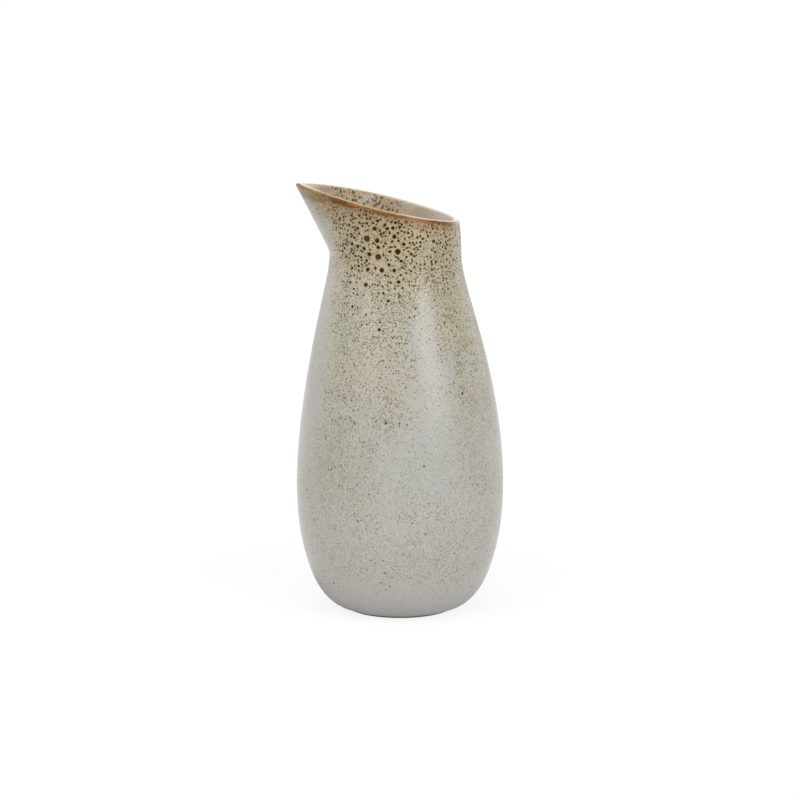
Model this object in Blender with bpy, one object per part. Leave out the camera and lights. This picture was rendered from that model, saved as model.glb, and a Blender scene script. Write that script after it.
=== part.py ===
"""Water carafe: a slip-cast stoneware body under a glaze coat, its slanted mouth drawn out into a beak spout.

Units are metres and +Z is up. The origin is the centre of the foot ring, on the surface that the carafe
stands on, and the spout points along -X.
"""

import math

import bmesh
import bpy
import numpy as np

# Foot ring of bare clay, and the recess inside it
FOOT_RADIUS = 0.0289
FOOT_RING_WIDTH = 0.0044
FOOT_HEIGHT = 0.0014
FOOT_EDGE = 0.0004
FOOT_RECESS = 0.0028

# Turned outside: (radius, height) of the points that its curve goes through, above the foot
GLAZE_LINE = (FOOT_RADIUS + 0.0012, FOOT_HEIGHT)
LOWER_CURVE = ((0.0398, 0.0070), (0.0482, 0.0220))
BELLY = (0.0550, 0.0673)
UPPER_CURVE = ((0.0522, 0.1040), (0.0437, 0.1480), (0.0372, 0.1740))
NECK = (0.0347, 0.1905)
FOOT_FLARE = math.radians(3.0)
NECK_LEAN = 0.0024
LEAN_POWER = 1.5

# Mouth: plan of the lip's outer edge, its blunt point, and the slanted plane that its crest lies in
SPOUT_REACH = 0.0546
MOUTH_BACK = 0.0313
MOUTH_HALF_WIDTH = 0.0355
BEAK_LENGTH_POWER = 1.81
BEAK_WIDTH_POWER = 1.25
SPOUT_TIP_HEIGHT = 0.2280
MOUTH_TILT = math.radians(13.2)

# Pull of the bend where the neck turns out to the mouth, tight below the beak and soft elsewhere
BEAK_BEND = 0.0016
SIDE_BEND = 0.0085

# Thicknesses
WALL = 0.0050
LIP = 0.0036
BEAK_LIP = 0.0064
LIP_ROUND = 0.0016
GLAZE = 0.0005
SEAT_GAP = 0.0003

# Facets
AROUND = 48
STRETCH_ROWS = (2, 2, 4, 2, 2, 2, 2)
INSIDE_ROW_STEP = 2
OUTER_THROAT_SHARES = (0.20, 0.35, 0.52, 0.75)
INNER_THROAT_SHARES = (0.25, 0.45, 0.70)
LIP_ROWS = 3
FLOOR_SHARE = 0.5
SHARP_EDGE = math.radians(50.0)

CLAY_COLOUR = (0.60, 0.50, 0.39, 1.0)
GLAZE_COLOUR = (0.53, 0.51, 0.45, 1.0)


def cubic(start, pull_out, pull_in, end, share):
    """The point at this share of a Bezier curve's parameter."""
    rest = 1 - share
    return rest ** 3 * start + 3 * rest ** 2 * share * pull_out + 3 * rest * share ** 2 * pull_in + share ** 3 * end


def smooth_slopes(points, lengths, first, last):
    """Slopes at the points, per length of chord, that make the cubics between them share their curvature."""
    chords = np.diff(points, axis=0) / lengths[:, None]
    balance = np.eye(len(points))
    slopes = np.zeros_like(points)
    slopes[0], slopes[-1] = first, last
    for i in range(1, len(points) - 1):
        before, after = lengths[i - 1], lengths[i]
        balance[i, i - 1:i + 2] = after, 2 * (before + after), before
        slopes[i] = 3 * (after * chords[i - 1] + before * chords[i])
    return np.linalg.solve(balance, slopes)


def turned_outline():
    """(radius, height) rows of the outside, from the glaze line up through the belly to the upright neck."""
    points = np.array([GLAZE_LINE, *LOWER_CURVE, BELLY, *UPPER_CURVE, NECK])
    lengths = np.linalg.norm(np.diff(points, axis=0), axis=1)
    slopes = smooth_slopes(points, lengths, (math.cos(FOOT_FLARE), math.sin(FOOT_FLARE)), (0.0, 1.0))
    rows = [points[0]]
    for i, count in enumerate(STRETCH_ROWS):
        pull_out = points[i] + slopes[i] * lengths[i] / 3
        pull_in = points[i + 1] - slopes[i + 1] * lengths[i] / 3
        for step in range(1, count + 1):
            rows.append(cubic(points[i], pull_out, pull_in, points[i + 1], step / count))
    return np.array(rows)


def inside_of(outline):
    """The outline moved one wall thickness along its normal, to the inner face."""
    tangent = np.gradient(outline, axis=0)
    tangent /= np.linalg.norm(tangent, axis=1)[:, None]
    inward = np.column_stack([-tangent[:, 1], tangent[:, 0]])
    return outline + WALL * inward


def stations():
    """Angles round the carafe, from the spout's tip at 0 by way of +Y."""
    return 2 * math.pi * np.arange(AROUND) / AROUND


def turned_ring(radius, height):
    """A circle whose centre leans towards the spout, from none at the belly to NECK_LEAN at the neck."""
    climb = min(max((height - BELLY[1]) / (NECK[1] - BELLY[1]), 0.0), 1.0)
    lean = NECK_LEAN * (1 - math.cos(math.pi * climb ** LEAN_POWER)) / 2
    angle = stations()
    return np.column_stack([-lean - radius * np.cos(angle), radius * np.sin(angle), np.full(AROUND, height)])


def mouth_ring(front, back, half_width):
    """One edge of the lip: half an ellipse behind and half a superellipse, which comes to a point, in front.
    The edge lies LIP_ROUND under the slanted plane of the lip's crest."""
    angle = stations()
    cosine, sine = np.cos(angle), np.sin(angle)
    middle, half_length = (back - front) / 2, (back + front) / 2
    in_front = cosine > 0
    along = np.where(in_front, np.abs(cosine) ** (2 / BEAK_LENGTH_POWER), cosine)
    across = np.sign(sine) * np.where(in_front, np.abs(sine) ** (2 / BEAK_WIDTH_POWER), np.abs(sine))
    x = middle - half_length * along
    z = SPOUT_TIP_HEIGHT - math.tan(MOUTH_TILT) * (x + SPOUT_REACH) - LIP_ROUND
    return np.column_stack([x, half_width * across, z])


def throat_rings(neck, mouth, shares):
    """Rings between the neck and the mouth: upright at the neck, then round a bend and straight to the lip."""
    beak = np.maximum(np.cos(stations()), 0.0)[:, None] ** 2
    bend = SIDE_BEND + (BEAK_BEND - SIDE_BEND) * beak
    corner = neck + bend * [0, 0, 1]
    climb = mouth - corner
    knee = corner + bend * climb / np.linalg.norm(climb, axis=1)[:, None]
    return [cubic(neck, corner, knee, mouth, share) for share in shares]


def lip_rings(outer, inner):
    """Rings over the rounded lip, between its outer and its inner edge."""
    rings = []
    for turn in np.linspace(0, math.pi, LIP_ROWS + 2)[1:-1]:
        ring = (outer + inner) / 2 + (outer - inner) / 2 * math.cos(turn)
        ring[:, 2] += LIP_ROUND * math.sin(turn)
        rings.append(ring)
    return rings


def skin_rings():
    """Rings of the glazed surface, from the glaze line up the outside, over the lip and down to the floor."""
    outline = turned_outline()
    outside = [turned_ring(radius, height) for radius, height in outline]
    inside = [turned_ring(radius, height) for radius, height in inside_of(outline)[::INSIDE_ROW_STEP]]
    outer_lip = mouth_ring(SPOUT_REACH, MOUTH_BACK, MOUTH_HALF_WIDTH)
    inner_lip = mouth_ring(SPOUT_REACH - BEAK_LIP, MOUTH_BACK - LIP, MOUTH_HALF_WIDTH - LIP)
    rings = outside + throat_rings(outside[-1], outer_lip, OUTER_THROAT_SHARES) + [outer_lip]
    rings += lip_rings(outer_lip, inner_lip) + [inner_lip]
    rings += throat_rings(inside[-1], inner_lip, INNER_THROAT_SHARES)[::-1] + inside[::-1]
    rings.append(rings[-1] * [FLOOR_SHARE, FLOOR_SHARE, 1])
    return rings


def foot_rings():
    """Rings of the bare foot, from just under the glaze line, round the foot ring and up to the recess."""
    ring_inside = FOOT_RADIUS - FOOT_RING_WIDTH
    section = [
        (FOOT_RADIUS, FOOT_HEIGHT),
        (FOOT_RADIUS, FOOT_EDGE),
        (FOOT_RADIUS - FOOT_EDGE, 0.0),
        (ring_inside + FOOT_EDGE, 0.0),
        (ring_inside, FOOT_EDGE),
        (ring_inside, FOOT_RECESS),
    ]
    return [turned_ring(radius, height) for radius, height in section]


def loft(bm, rings, loop=None):
    """Joins the rings one to the next with quads, the first to loop where one is given, and returns the last
    ring's vertices. Rings that rise on an outside wall make faces that point out."""
    for ring in rings:
        above = [bm.verts.new(point) for point in ring]
        if loop:
            for i in range(AROUND):
                j = (i + 1) % AROUND
                bm.faces.new((loop[i], above[i], above[j], loop[j]))
        loop = above
    return loop


def cap(bm, loop):
    """Closes a ring with a fan to its centre."""
    centre = bm.verts.new(np.mean([vertex.co for vertex in loop], axis=0))
    for i in range(AROUND):
        bm.faces.new((loop[i], centre, loop[(i + 1) % AROUND]))


def glazed_skin():
    """The glazed surface as a sheet that is open at the glaze line, and the vertices of that free edge."""
    bm = bmesh.new()
    rings = skin_rings()
    free_edge = loft(bm, rings[:1])
    cap(bm, loft(bm, rings[1:], free_edge))
    bm.normal_update()
    return bm, free_edge


def finish(bm, name, colour, roughness):
    """Makes the named object, smooth but for its real edges, in its own material."""
    mesh = bpy.data.meshes.new(name)
    bm.to_mesh(mesh)
    bm.free()
    mesh.shade_smooth()
    mesh.set_sharp_from_angle(angle=SHARP_EDGE)
    material = bpy.data.materials.new(name)
    material.use_nodes = True
    shader = material.node_tree.nodes["Principled BSDF"]
    shader.inputs["Base Color"].default_value = colour
    shader.inputs["Roughness"].default_value = roughness
    shader.inputs["Metallic"].default_value = 0.0
    mesh.materials.append(material)
    piece = bpy.data.objects.new(name, mesh)
    bpy.context.scene.collection.objects.link(piece)
    return piece


def stoneware_body():
    """The fired clay: the glazed surface sunk by the coat's thickness and its seat, closed below by the foot."""
    bm, free_edge = glazed_skin()
    for vertex in bm.verts:
        vertex.co -= vertex.normal * (GLAZE + SEAT_GAP)
    cap(bm, loft(bm, foot_rings(), free_edge))
    bmesh.ops.recalc_face_normals(bm, faces=bm.faces)
    return finish(bm, "stoneware_body", CLAY_COLOUR, 0.75)


def glaze_coat():
    """The glaze: one unbroken coat over the outside, the lip and the inside, ending above the foot ring."""
    bm, _ = glazed_skin()
    coat = finish(bm, "glaze_coat", GLAZE_COLOUR, 0.30)
    thickness = coat.modifiers.new("glaze thickness", "SOLIDIFY")
    thickness.thickness = GLAZE
    thickness.offset = -1.0
    return coat


def base_glaze():
    """The glaze left in the recess under the foot, thicker at its edge, which the bare foot ring cuts off."""
    edge = FOOT_RADIUS - FOOT_RING_WIDTH - SEAT_GAP
    top = FOOT_RECESS - SEAT_GAP
    section = [(edge, top), (edge, top - 2 * GLAZE), (edge - GLAZE, top - 2 * GLAZE), (edge - 3 * GLAZE, top - GLAZE)]
    rings = [turned_ring(radius, height) for radius, height in section]
    bm = bmesh.new()
    upper_edge = loft(bm, rings[:1])
    cap(bm, upper_edge)
    cap(bm, loft(bm, rings[1:], upper_edge))
    bmesh.ops.recalc_face_normals(bm, faces=bm.faces)
    return finish(bm, "base_glaze", GLAZE_COLOUR, 0.30)


def main():
    for old in list(bpy.data.objects):
        bpy.data.objects.remove(old)
    stoneware_body()
    glaze_coat()
    base_glaze()


main()
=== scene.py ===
"""Looks of the water carafe: its speckled glaze and bare clay, with the light, the floor and the camera.

Units are metres and +Z is up. The spout points along -X, and the camera looks along +Y.
"""

import math
from types import SimpleNamespace

import bpy
import numpy as np
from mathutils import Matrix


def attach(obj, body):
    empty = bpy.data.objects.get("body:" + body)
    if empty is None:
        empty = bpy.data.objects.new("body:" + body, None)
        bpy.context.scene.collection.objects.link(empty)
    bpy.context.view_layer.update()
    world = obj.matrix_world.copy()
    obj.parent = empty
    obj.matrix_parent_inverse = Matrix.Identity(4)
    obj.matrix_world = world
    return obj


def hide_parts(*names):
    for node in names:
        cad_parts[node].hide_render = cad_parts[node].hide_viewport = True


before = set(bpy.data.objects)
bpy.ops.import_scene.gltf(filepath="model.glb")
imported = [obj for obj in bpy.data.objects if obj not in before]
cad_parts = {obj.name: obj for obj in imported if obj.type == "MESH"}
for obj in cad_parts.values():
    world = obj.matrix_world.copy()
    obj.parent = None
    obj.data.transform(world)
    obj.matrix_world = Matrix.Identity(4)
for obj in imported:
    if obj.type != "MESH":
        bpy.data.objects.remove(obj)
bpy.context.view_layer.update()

# Foot ring of bare clay, and the recess inside it
FOOT_RADIUS = 0.0289
FOOT_RING_WIDTH = 0.0044
FOOT_HEIGHT = 0.0014
FOOT_ROUND = 0.0006
FOOT_RECESS = 0.0028

# Turned outside: (radius, height) of the points that its curve goes through, above the foot
GLAZE_OVERHANG = 0.0012
GLAZE_LINE = (FOOT_RADIUS + GLAZE_OVERHANG, FOOT_HEIGHT)
LOWER_CURVE = ((0.0398, 0.0070), (0.0482, 0.0220))
BELLY = (0.0550, 0.0673)
UPPER_CURVE = ((0.0522, 0.1040), (0.0437, 0.1480), (0.0372, 0.1740))
NECK = (0.0347, 0.1905)
FOOT_FLARE = math.radians(3.0)
NECK_LEAN = 0.0024
LEAN_POWER = 1.5

# Mouth: plan of the lip's outer edge, its blunt point, and the slanted plane that its crest lies in
SPOUT_REACH = 0.0546
MOUTH_BACK = 0.0313
MOUTH_HALF_WIDTH = 0.0355
BEAK_LENGTH_POWER = 1.81
BEAK_WIDTH_POWER = 1.25
SPOUT_TIP_HEIGHT = 0.2280
SPOUT_TIP = (-SPOUT_REACH, 0.0, SPOUT_TIP_HEIGHT)
MOUTH_TILT = math.radians(13.2)
BEAK_BEND = 0.0016
SIDE_BEND = 0.0085

# Thicknesses
WALL = 0.0050
LIP = 0.0036
BEAK_LIP = 0.0064
LIP_ROUND = 0.0016
GLAZE = 0.0005
CREEP_WIDTH = 3 * GLAZE
SEAT_GAP = 0.0003

# Meshes: the step between rows of the turned wall, the rows of the throat, lip and floor, and the points
# round the carafe
COAT_MESH = {"step": 0.0028, "throat_rows": 22, "lip_rows": 15, "floor_rows": 6, "around": 224}
CLAY_MESH = {"step": 0.0050, "throat_rows": 10, "lip_rows": 9, "floor_rows": 3, "around": 160}
SIGHT_MESH = {"step": 0.0005, "throat_rows": 80, "around": 720}
FOOT_ROUND_ROWS = 5
CREEP_ROWS = 7

# Camera and frame
CAMERA_DISTANCE = 1.6
CAMERA_PITCH = math.radians(10.5)
CAMERA_AIM_HEIGHT = 0.11184
FOCAL_LENGTH_MM = 135.74
FILM_WIDTH_MM = 36.0
FRAME_PIXELS = 800

# Light: soft boxes with their degrees to the right of the camera's side, degrees up, distance, width, height
# and watts, the fill from all round, and how bright the room on the camera's side is in reflections
LAMPS = {
    "right box": (44, 22, 1.6, 0.80, 0.90, 5.4),
    "left box": (-40, 24, 1.6, 0.70, 0.90, 2.7),
    "side panel": (-85, 25, 1.6, 1.60, 1.20, 2.3),
    "top box": (0, 62, 1.4, 1.0, 1.0, 6.9),
}
LAMP_AIM = (0.0, 0.0, 0.12)
FILL = 0.53
DIM_ROOM = 0.06

# Floor: its size, how far it lies under the foot, its finish, how white it shows, the share and the reach of
# the shadow that it keeps, and the middle of the shadow painted into its reflections
FLOOR_SIZE = 30.0
FLOOR_DROP = 0.0001
FLOOR_GREY = (0.85, 0.85, 0.85, 1)
FLOOR_ROUGHNESS = 0.9
FLOOR_WHITE = 1.03
PLAIN_WHITE = (1, 1, 1, 1)
SHADOW_SHARE = 0.16
SHADOW_REACH = 0.35
# The middle of the shadow painted into the floor's reflections
PAINTED_SHADOW_MIDDLE = (-0.01, 0.02, 0.0)

# The largest spots on the neck: (pixels across, pixels down, width in millimetres) in the photograph's frame
NECK_SPOTS = (
    (367.0, 238.5, 2.9), (377.5, 240.5, 2.2), (378.5, 257.0, 2.7), (398.0, 251.5, 2.6), (369.5, 254.5, 2.0),
    (394.5, 237.0, 2.0), (374.5, 228.5, 2.1), (387.0, 228.5, 1.6), (393.0, 228.0, 1.6), (364.0, 248.5, 1.8),
    (357.5, 246.5, 1.8), (378.0, 247.5, 1.8), (352.0, 244.0, 1.6), (368.0, 269.5, 2.0), (382.0, 270.5, 2.1),
    (394.0, 270.5, 1.7), (366.0, 284.5, 2.0), (398.5, 281.5, 1.7), (389.0, 265.0, 1.4), (401.0, 261.0, 1.4),
    (390.5, 252.0, 1.4), (349.0, 225.0, 1.5), (367.0, 223.0, 1.5), (358.0, 228.5, 1.5), (395.5, 222.5, 1.4),
    (342.5, 251.0, 1.5), (352.0, 268.0, 1.5), (358.5, 266.0, 1.3), (350.5, 282.0, 1.3), (352.5, 306.5, 1.3),
    (379.5, 329.5, 1.5), (388.0, 301.0, 1.2), (433.5, 241.5, 1.5), (436.0, 262.0, 1.3), (423.0, 238.5, 1.3),
    (404.0, 244.0, 1.6), (354.5, 237.5, 1.3), (347.5, 235.5, 1.2), (353.5, 253.0, 1.2), (346.5, 256.5, 1.3),
    (361.0, 257.5, 1.2), (385.5, 243.5, 1.2), (398.5, 233.0, 1.2), (359.0, 233.5, 1.2), (343.5, 220.5, 1.0),
    (410.5, 225.5, 1.0), (451.5, 229.5, 1.3), (375.5, 268.5, 1.3), (383.5, 293.5, 1.2), (357.5, 294.5, 1.0),
    (366.0, 314.5, 1.0), (418.0, 249.5, 1.0), (423.5, 230.0, 1.2), (444.0, 233.0, 1.2), (440.5, 242.5, 1.2),
    (432.5, 229.0, 1.2), (437.5, 228.0, 1.1), (408.5, 233.0, 1.2), (404.0, 232.0, 1.0), (417.0, 242.5, 1.1),
    (414.0, 256.0, 1.1), (431.5, 249.5, 1.0), (414.5, 267.0, 1.1), (411.0, 271.5, 1.1), (345.5, 216.0, 1.1),
    (352.5, 219.0, 1.1), (341.0, 228.0, 1.1), (373.5, 223.0, 1.2), (362.5, 226.0, 1.0), (368.0, 230.5, 1.0),
    (427.0, 232.0, 1.0), (443.5, 229.0, 1.0), (347.5, 273.0, 1.1), (350.5, 275.5, 0.9), (354.0, 275.5, 0.9),
    (360.0, 278.5, 0.9), (343.0, 281.0, 0.8), (356.5, 282.0, 0.8), (354.0, 288.5, 1.0), (375.0, 284.5, 1.0),
    (382.5, 286.5, 1.1), (385.5, 275.0, 1.0), (390.5, 283.0, 1.0), (401.0, 275.5, 1.1), (395.0, 289.0, 1.0),
    (378.5, 293.0, 0.9), (372.0, 293.5, 0.8), (353.5, 293.0, 0.8), (363.5, 295.0, 0.8), (346.5, 296.5, 0.9),
    (399.5, 295.5, 0.8), (381.0, 301.0, 0.8), (378.5, 308.5, 0.9), (372.0, 313.5, 0.9), (353.0, 314.0, 0.9),
    (358.0, 308.0, 0.8), (414.5, 316.5, 0.9), (361.5, 325.0, 0.9), (433.5, 276.5, 1.0), (443.5, 278.0, 1.0),
)
MILLIMETRE = 0.001
# Wider spots have a red heart
HEART_WIDTH_MM = 2.6
# How many radii away is out of a spot's reach
OUT_OF_REACH = 10.0

# Places on the glaze: the middles of the larger spots, of the browner, warmer and redder patches outside,
# and of the patch inside with its own spots
SPOT_PATCH = (-0.0155, -0.0320, 0.1950)
TOAST_PATCH = (-0.0260, -0.0240, 0.2070)
WARM_PATCH = (-0.0150, -0.0455, 0.1390)
WARM_SIDE = (0.0360, -0.0180, 0.1650)
ROSY_PATCH = (-0.0400, -0.0380, 0.0650)
RUSTY_PATCH = (0.0405, -0.0285, 0.1190)
INNER_PATCH = (-0.0270, 0.0240, 0.2110)
INNER_SPOTS = (-0.0190, 0.0270, 0.2080)

# Nearly clear of specks: a slanted streak on the front, from one (x, height) to another, and the side below
# the spout, round an upright line through an (x, y). The side is painted pale grey, partly its glaze's own
# colour and partly painted sheen
CLEAR_STREAK = ((0.0110, 0.0650), (0.0175, 0.1700))
CLEAR_SIDE = (-0.0500, 0.0)

# Where the brown break of the rim runs deeper, and by how much
RIM_RUNS = (
    ((-0.0296, -0.0258, 0.2205), 0.0028),
    ((-0.0054, -0.0350, 0.2150), 0.0012),
    ((0.0240, -0.0240, 0.2080), 0.0016),
)

# Colours of the glaze's ground, from 0 to 255 as they show on a screen, like all that follow
GREY_GROUND = (187, 185, 178)
WARM_GROUND = (190, 185, 163)
SANDY_DRIFT = (194, 177, 146)
OLIVE_CAST = (182, 174, 140)
SANDY_CAST = (190, 168, 130)
ROSY_CAST = (188, 172, 156)
KHAKI_CAST = (178, 167, 128)
RUSTY_CAST = (174, 148, 126)
STREAK_GREY = (187, 187, 184)
# Partly painted sheen: the pale grey of the side below the spout
SIDE_GREY_AND_SHEEN = (181, 177, 172)
FOOT_GREY = (180, 178, 178)
ROSY_MOTTLE = (190, 178, 170)
GREEN_MOTTLE = (180, 180, 142)
DARK_GRAIN = (160, 154, 136)
NECK_TAN = (180, 157, 118)
TOAST = (148, 110, 72)
# Painted sheen: the pale cream laid along the neck's right edge
RIGHT_EDGE_SHEEN = (216, 208, 194)

# Colours of the lining
LINING_BEIGE = (214, 197, 174)
LINING_GREY = (208, 200, 190)
# Partly painted light: the lining's white away from the spout stands in part for the light on that wall
LINING_PALE_AND_LIT = (248, 244, 236)
LINING_STAIN = (176, 154, 130)
INNER_TAN = (188, 162, 134)

# Colours of the specks
COOL_SPECK = (98, 92, 44)
WARM_SPECK = (74, 66, 14)
NECK_SPECK = (72, 50, 14)
OLIVE_SPECK = (80, 72, 14)
GREY_SPECK = (66, 62, 44)
COOL_FLAKE = (214, 213, 208)
WARM_FLAKE = (214, 210, 196)
SPARSE_EDGE = (132, 110, 56)
SPARSE_OLIVE = (98, 88, 24)
SPARSE_BROWN = (66, 44, 10)

# Colours of the neck's spots
SPOT_HALO = (206, 193, 162)
SPOT_EDGE = (124, 98, 46)
SMALL_SPOT = (64, 36, 0)
LARGE_SPOT = (54, 31, 0)
PLACED_HALO = (202, 186, 148)
PLACED_EDGE = (120, 92, 36)
PLACED_SPOT = (52, 30, 0)
SPOT_HEART = (124, 62, 34)

# Colours along the rim
BLUSH = (184, 134, 98)
BEAK_BLUSH = (164, 140, 92)
BROWN_WASH = (126, 84, 46)
OCHRE_WASH = (136, 114, 60)
ORANGE_BREAK = (158, 100, 42)
BROWN_BREAK = (112, 70, 30)
# Crest colours: the creams are partly the glaze's own, and the whites and the tip's colour are painted
# highlight
NEAR_CREAM = (212, 174, 112)
NEAR_CREST_HIGHLIGHT = (236, 220, 196)
FAR_CREAM = (224, 216, 184)
FAR_CREST_HIGHLIGHT = (242, 240, 226)
TIP_HIGHLIGHT = (244, 238, 222)
# Painted highlight at the rim's right end
END_HIGHLIGHT = (226, 220, 214)

# Colours of the recess's glaze and of the bare clay
RECESS_GREY = (174, 172, 166)
RECESS_BUFF = (184, 176, 160)
RECESS_GRAIN = (160, 154, 138)
RECESS_SPECK = (116, 108, 86)
PALE_CLAY = (182, 172, 160)
DARK_CLAY = (158, 146, 132)
TOASTED_CLAY = (168, 144, 120)
DARK_GROG = (112, 94, 76)
PALE_GROG = (196, 188, 176)

# Finish: the glaze's gloss and the faint unevenness of its surface, the clay's dryness and its pitting, and
# how far the specks stray from an even pattern
GLAZE_ROUGHNESS = (0.22, 0.30)
GLAZE_BUMP = {"Strength": 0.20, "Distance": 0.0003}
CLAY_ROUGHNESS = (0.70, 0.88)
CLAY_BUMP = {"Strength": 0.4, "Distance": 0.0002}
SPECK_SCATTER = 0.93


def cubic(start, pull_out, pull_in, end, share):
    """Points of a Bezier curve: the four points weighed by the cubic's share."""
    rest = 1 - share
    near_start = rest ** 3 * start + 3 * rest ** 2 * share * pull_out
    return near_start + 3 * rest * share ** 2 * pull_in + share ** 3 * end


def smooth_slopes(points, lengths, first, last):
    """Slopes at the points, per length of chord, that make the cubics between them share their curvature:
    at each inner point the slopes about it balance the chords about it."""
    chords = np.diff(points, axis=0) / lengths[:, None]
    balance = np.eye(len(points))
    slopes = np.zeros_like(points)
    slopes[0], slopes[-1] = first, last
    for i in range(1, len(points) - 1):
        before, after = lengths[i - 1], lengths[i]
        balance[i, i - 1:i + 2] = after, 2 * (before + after), before
        slopes[i] = 3 * (after * chords[i - 1] + before * chords[i])
    return np.linalg.solve(balance, slopes)


def turned_outline(step):
    """(radius, height) rows of the outside, from the glaze line to the upright neck, about one step apart:
    a cubic on each stretch between the outline's points, with matched slopes and curvature."""
    points = np.array([GLAZE_LINE, *LOWER_CURVE, BELLY, *UPPER_CURVE, NECK])
    lengths = np.linalg.norm(np.diff(points, axis=0), axis=1)
    slopes = smooth_slopes(points, lengths, (math.cos(FOOT_FLARE), math.sin(FOOT_FLARE)), (0.0, 1.0))
    stretches = []
    for i, length in enumerate(lengths):
        share = np.linspace(0, 1, math.ceil(length / step), endpoint=False)[:, None]
        pull_out = points[i] + slopes[i] * length / 3
        pull_in = points[i + 1] - slopes[i + 1] * length / 3
        stretches.append(cubic(points[i], pull_out, pull_in, points[i + 1], share))
    return np.vstack([*stretches, points[-1:]])


def inside_of(outline):
    """The outline moved one wall thickness along its normal, to the inner face."""
    tangent = np.gradient(outline, axis=0)
    tangent /= np.linalg.norm(tangent, axis=1)[:, None]
    inward = np.column_stack([-tangent[:, 1], tangent[:, 0]])
    return outline + WALL * inward


def stations(around):
    """Angles round the carafe, from the spout's tip at 0 by way of +Y."""
    return 2 * math.pi * np.arange(around) / around


def turned(rows, around):
    """A grid of circles, one for each (radius, height) row: their centres lean towards the spout by half a
    cosine wave, from none at the belly to NECK_LEAN at the neck."""
    radius, height = np.asarray(rows)[:, 0, None], np.asarray(rows)[:, 1, None]
    climb = np.clip((height - BELLY[1]) / (NECK[1] - BELLY[1]), 0, 1)
    lean = NECK_LEAN * (1 - np.cos(math.pi * climb ** LEAN_POWER)) / 2
    angle = stations(around)
    return np.stack([-lean - radius * np.cos(angle), radius * np.sin(angle), height + 0 * angle], axis=2)


def mouth_edge(front, back, half_width, around):
    """One edge of the lip: half an ellipse behind, and half a superellipse, which comes to a point, in front.
    The edge lies LIP_ROUND under the slanted plane of the lip's crest."""
    angle = stations(around)
    cosine, sine = np.cos(angle), np.sin(angle)
    middle, half_length = (back - front) / 2, (back + front) / 2
    in_front = cosine > 0
    along = np.where(in_front, np.abs(cosine) ** (2 / BEAK_LENGTH_POWER), cosine)
    across = np.sign(sine) * np.where(in_front, np.abs(sine) ** (2 / BEAK_WIDTH_POWER), np.abs(sine))
    x = middle - half_length * along
    z = SPOUT_TIP_HEIGHT - math.tan(MOUTH_TILT) * (x + SPOUT_REACH) - LIP_ROUND
    return np.column_stack([x, half_width * across, z])


def throat(neck, mouth, rows):
    """A grid between the neck and the mouth's edge: cubics that leave the neck upright, turn through a bend,
    tight below the beak and soft elsewhere, and run straight to the lip."""
    beak = np.maximum(np.cos(stations(len(neck))), 0)[:, None] ** 2
    bend = SIDE_BEND + (BEAK_BEND - SIDE_BEND) * beak
    corner = neck + bend * [0, 0, 1]
    climb = mouth - corner
    knee = corner + bend * climb / np.linalg.norm(climb, axis=1)[:, None]
    share = np.linspace(0, 1, rows + 2)[1:-1, None, None]
    return cubic(neck, corner, knee, mouth, share)


def lip_round(outer, inner, rows):
    """A grid over the lip: half a turn from the outer edge to the inner one, LIP_ROUND high."""
    turn = np.linspace(0, math.pi, rows)[:, None, None]
    return (outer + inner) / 2 + (outer - inner) / 2 * np.cos(turn) + LIP_ROUND * np.sin(turn) * [0, 0, 1]


def outer_wall(step, throat_rows, around):
    """The outside as a grid, from the glaze line to just under the lip."""
    wall = turned(turned_outline(step), around)
    edge = mouth_edge(SPOUT_REACH, MOUTH_BACK, MOUTH_HALF_WIDTH, around)
    return np.concatenate([wall, throat(wall[-1], edge, throat_rows)])


def carafe_skin(step, throat_rows, lip_rows, floor_rows, around):
    """The glazed surface as one grid, up the outside, over the lip and down the inside to the floor, and how
    far each of its points lies from the lip's crest along its own meridian, below zero inside."""
    outside = outer_wall(step, throat_rows, around)
    inside = turned(inside_of(turned_outline(step)), around)
    outer_edge = mouth_edge(SPOUT_REACH, MOUTH_BACK, MOUTH_HALF_WIDTH, around)
    inner_edge = mouth_edge(SPOUT_REACH - BEAK_LIP, MOUTH_BACK - LIP, MOUTH_HALF_WIDTH - LIP, around)
    lip = lip_round(outer_edge, inner_edge, lip_rows)
    inner_throat = throat(inside[-1], inner_edge, throat_rows)
    floor_share = np.linspace(1, 0, floor_rows + 1, endpoint=False)[1:, None, None]
    floor = inside[0] * np.concatenate([floor_share, floor_share, floor_share ** 0], axis=2)
    grid = np.concatenate([outside, lip, inner_throat[::-1], inside[::-1], floor])
    steps = np.linalg.norm(np.diff(grid, axis=0), axis=2)
    travelled = np.concatenate([np.zeros((1, around)), np.cumsum(steps, axis=0)])
    crest = len(outside) + lip_rows // 2
    return grid, travelled[crest] - travelled


def outward(grid):
    """Unit normals of a grid whose rows climb the outside: the row's direction crossed with the column's."""
    climb = np.gradient(grid, axis=0)
    round_the_axis = np.roll(grid, -1, axis=1) - np.roll(grid, 1, axis=1)
    normal = np.cross(climb, round_the_axis)
    return normal / np.linalg.norm(normal, axis=2)[:, :, None]


def new_object(name, data):
    """An object in the scene."""
    made = bpy.data.objects.new(name, data)
    bpy.context.scene.collection.objects.link(made)
    return made


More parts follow.
